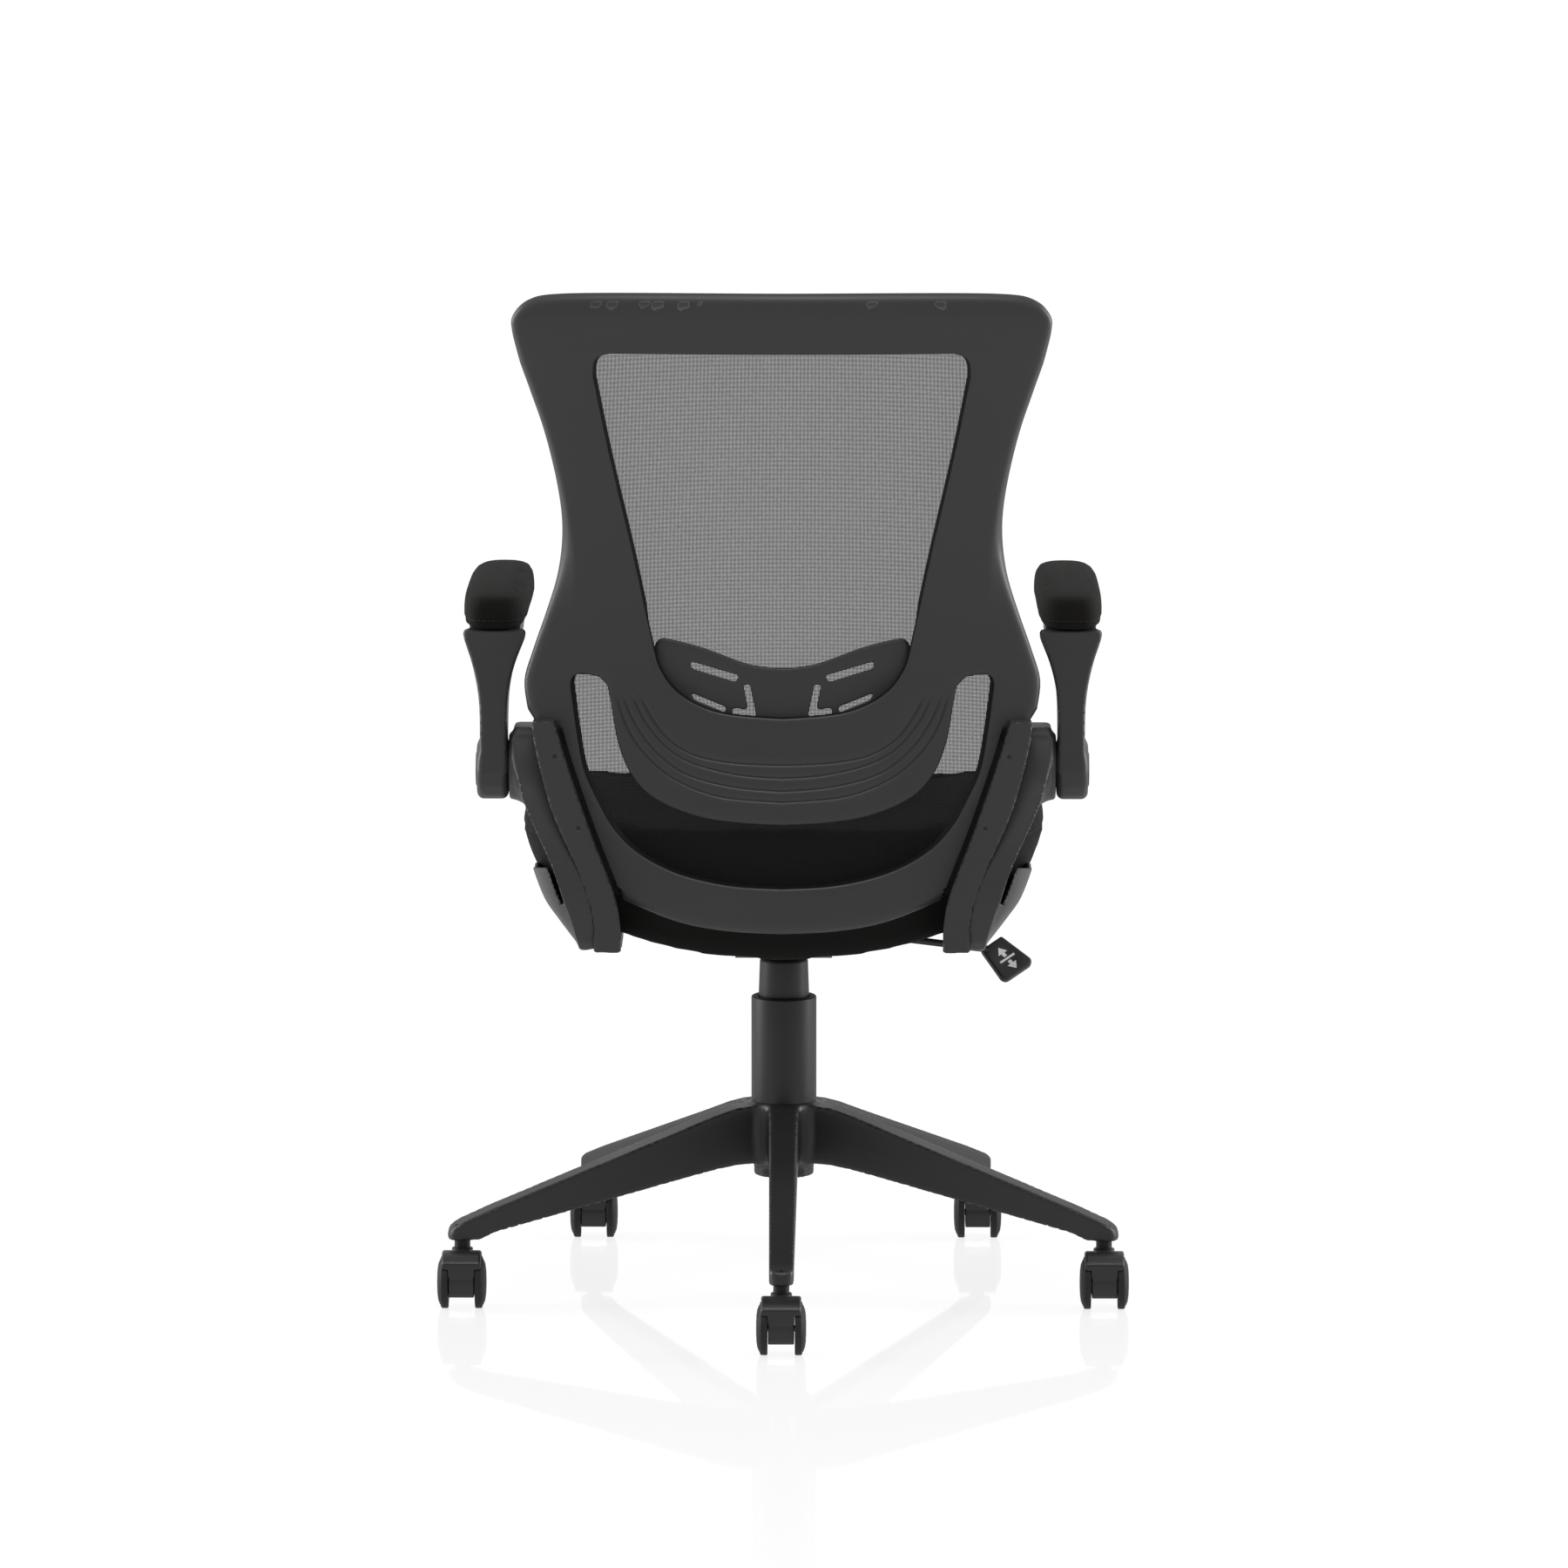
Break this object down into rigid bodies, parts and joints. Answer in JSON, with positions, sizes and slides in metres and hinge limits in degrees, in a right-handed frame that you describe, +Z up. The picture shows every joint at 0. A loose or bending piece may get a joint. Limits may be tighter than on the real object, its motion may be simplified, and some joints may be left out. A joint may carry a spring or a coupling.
{
  "type": "swivel office chair",
  "caption": "Mesh-back swivel office chair with gas lift, tilt, flip-up arms, lumbar plate and a star base on twin-wheel castors.",
  "frame": {"origin": "on the floor under the column axis", "axes": "+Z up along the column, the sitter faces -Y, the back is at +Y, +X to the sitter's left"},
  "size_m": [0.6552, 0.6358, 0.9841],
  "materials": {
    "frame_plastic": "satin, fine moulded grain",
    "base_nylon": "satin nylon",
    "castor_plastic": "satin nylon",
    "seat_fabric": "woven upholstery",
    "arm_pad_fabric": "woven upholstery over foam",
    "mesh_fabric": "open knitted mesh",
    "underside_cloth": "non-woven dust cover",
    "black_steel": "black powder coat",
    "bright_steel": "zinc-plated",
    "spring_steel": "oiled",
    "plywood": "raw beech plywood",
    "lever_plastic": "satin, with a plain arrow mark"
  },
  "bodies": {
    "base": {"star_base": "base_nylon", "castor_stems": "bright_steel", "column_tube": "black_steel", "column_bush": "base_nylon", "column_cover": "base_nylon", "thrust_bearing": "bright_steel"},
    "lift_rod": {"piston_rod": "bright_steel", "rod_clip": "bright_steel"},
    "mechanism": {"gas_cylinder": "black_steel", "mechanism_housing": "black_steel", "tilt_axle": "bright_steel", "tilt_spring": "spring_steel"},
    "release_button": {"release_button": "bright_steel"},
    "tilt_lock": {"tilt_lock_slider": "bright_steel"},
    "height_lever": {"height_lever": "black_steel", "lever_paddle": "lever_plastic"},
    "seat": {"seat_plate": "black_steel", "seat_plate_bolts": "bright_steel", "seat_board": "plywood", "seat_cushion": "seat_fabric", "seat_underside_cover": "underside_cloth", "tension_bolt": "bright_steel", "arm_bracket_left": "frame_plastic", "arm_bracket_right": "frame_plastic", "bracket_bolts": "bright_steel", "back_upright_left": "frame_plastic", "back_upright_right": "frame_plastic", "back_frame": "frame_plastic", "back_frame_screws": "bright_steel", "mesh_rim": "frame_plastic", "back_mesh": "mesh_fabric", "arm_pivot_pins": "bright_steel"},
    "tension_knob": {"tension_knob": "castor_plastic"},
    "lumbar": {"lumbar_support": "frame_plastic"},
    "arm_left": {"arm_left": "frame_plastic", "arm_pad_left": "arm_pad_fabric", "arm_pivot_cap_left": "frame_plastic"},
    "arm_right": {"arm_right": "frame_plastic", "arm_pad_right": "arm_pad_fabric", "arm_pivot_cap_right": "frame_plastic"},
    "castor_1": {"castor_housing_1": "castor_plastic", "castor_axle_1": "bright_steel"},
    "castor_1_wheel_left": {"castor_wheel_left_1": "castor_plastic"},
    "castor_1_wheel_right": {"castor_wheel_right_1": "castor_plastic"},
    "castor_2": {"castor_housing_2": "castor_plastic", "castor_axle_2": "bright_steel"},
    "castor_2_wheel_left": {"castor_wheel_left_2": "castor_plastic"},
    "castor_2_wheel_right": {"castor_wheel_right_2": "castor_plastic"},
    "castor_3": {"castor_housing_3": "castor_plastic", "castor_axle_3": "bright_steel"},
    "castor_3_wheel_left": {"castor_wheel_left_3": "castor_plastic"},
    "castor_3_wheel_right": {"castor_wheel_right_3": "castor_plastic"},
    "castor_4": {"castor_housing_4": "castor_plastic", "castor_axle_4": "bright_steel"},
    "castor_4_wheel_left": {"castor_wheel_left_4": "castor_plastic"},
    "castor_4_wheel_right": {"castor_wheel_right_4": "castor_plastic"},
    "castor_5": {"castor_housing_5": "castor_plastic", "castor_axle_5": "bright_steel"},
    "castor_5_wheel_left": {"castor_wheel_left_5": "castor_plastic"},
    "castor_5_wheel_right": {"castor_wheel_right_5": "castor_plastic"}
  },
  "joints": [
    {"name": "seat_swivel", "type": "hinge", "parent": "base", "child": "lift_rod", "pos_m": [0, 0, 0.3], "axis": [0, 0, 1], "continuous": true},
    {"name": "seat_lift", "type": "slide", "parent": "lift_rod", "child": "mechanism", "axis": [0, 0, 1], "range_m": [0, 0.1]},
    {"name": "seat_tilt", "type": "hinge", "parent": "mechanism", "child": "seat", "pos_m": [0, -0.035, 0.345], "axis": [-1, 0, 0], "range_deg": [0, 12], "stiffness_Nm_per_rad": 150, "springref_deg": -11.46, "deforming": ["tilt_spring"]},
    {"name": "tension_turn", "type": "hinge", "parent": "seat", "child": "tension_knob", "pos_m": [0, -0.078, 0.295], "axis": [0, 0, 1], "continuous": true},
    {"name": "tilt_lock_slide", "type": "slide", "parent": "mechanism", "child": "tilt_lock", "axis": [-1, 0, 0], "range_m": [-0.008, 0]},
    {"name": "height_lever_lift", "type": "hinge", "parent": "tilt_lock", "child": "height_lever", "pos_m": [-0.06, 0, 0.346], "axis": [0, 1, 0], "range_deg": [0, 3.5], "stiffness_Nm_per_rad": 3, "springref_deg": -8.59},
    {"name": "release_button_press", "type": "slide", "parent": "mechanism", "child": "release_button", "axis": [0, 0, -1], "range_m": [0, 0.0038]},
    {"name": "lumbar_height", "type": "slide", "parent": "seat", "child": "lumbar", "axis": [0, -0.1093, 0.994], "range_m": [-0.015, 0.025]},
    {"name": "arm_left_flip", "type": "hinge", "parent": "seat", "child": "arm_left", "pos_m": [0.27, 0.175, 0.525], "axis": [-1, 0, 0], "range_deg": [0, 90]},
    {"name": "arm_right_flip", "type": "hinge", "parent": "seat", "child": "arm_right", "pos_m": [-0.27, 0.175, 0.525], "axis": [-1, 0, 0], "range_deg": [0, 90]},
    {"name": "castor_1_swivel", "type": "hinge", "parent": "base", "child": "castor_1", "pos_m": [0, 0.32, 0.05], "axis": [0, 0, 1], "continuous": true},
    {"name": "castor_1_left_roll", "type": "hinge", "parent": "castor_1", "child": "castor_1_wheel_left", "pos_m": [0, 0.338, 0.025], "axis": [1, 0, 0], "continuous": true},
    {"name": "castor_1_right_roll", "type": "hinge", "parent": "castor_1", "child": "castor_1_wheel_right", "pos_m": [0, 0.338, 0.025], "axis": [1, 0, 0], "continuous": true},
    {"name": "castor_2_swivel", "type": "hinge", "parent": "base", "child": "castor_2", "pos_m": [-0.30434, 0.09889, 0.05], "axis": [0, 0, 1], "continuous": true},
    {"name": "castor_2_left_roll", "type": "hinge", "parent": "castor_2", "child": "castor_2_wheel_left", "pos_m": [-0.30434, 0.11689, 0.025], "axis": [1, 0, 0], "continuous": true},
    {"name": "castor_2_right_roll", "type": "hinge", "parent": "castor_2", "child": "castor_2_wheel_right", "pos_m": [-0.30434, 0.11689, 0.025], "axis": [1, 0, 0], "continuous": true},
    {"name": "castor_3_swivel", "type": "hinge", "parent": "base", "child": "castor_3", "pos_m": [-0.18809, -0.25888, 0.05], "axis": [0, 0, 1], "continuous": true},
    {"name": "castor_3_left_roll", "type": "hinge", "parent": "castor_3", "child": "castor_3_wheel_left", "pos_m": [-0.18809, -0.24088, 0.025], "axis": [1, 0, 0], "continuous": true},
    {"name": "castor_3_right_roll", "type": "hinge", "parent": "castor_3", "child": "castor_3_wheel_right", "pos_m": [-0.18809, -0.24088, 0.025], "axis": [1, 0, 0], "continuous": true},
    {"name": "castor_4_swivel", "type": "hinge", "parent": "base", "child": "castor_4", "pos_m": [0.18809, -0.25888, 0.05], "axis": [0, 0, 1], "continuous": true},
    {"name": "castor_4_left_roll", "type": "hinge", "parent": "castor_4", "child": "castor_4_wheel_left", "pos_m": [0.18809, -0.24088, 0.025], "axis": [1, 0, 0], "continuous": true},
    {"name": "castor_4_right_roll", "type": "hinge", "parent": "castor_4", "child": "castor_4_wheel_right", "pos_m": [0.18809, -0.24088, 0.025], "axis": [1, 0, 0], "continuous": true},
    {"name": "castor_5_swivel", "type": "hinge", "parent": "base", "child": "castor_5", "pos_m": [0.30434, 0.09889, 0.05], "axis": [0, 0, 1], "continuous": true},
    {"name": "castor_5_left_roll", "type": "hinge", "parent": "castor_5", "child": "castor_5_wheel_left", "pos_m": [0.30434, 0.11689, 0.025], "axis": [1, 0, 0], "continuous": true},
    {"name": "castor_5_right_roll", "type": "hinge", "parent": "castor_5", "child": "castor_5_wheel_right", "pos_m": [0.30434, 0.11689, 0.025], "axis": [1, 0, 0], "continuous": true}
  ],
  "couplings": [
    {"joint": "release_button_press", "follows": "height_lever_lift", "m_per_rad": 0.06}
  ]
}
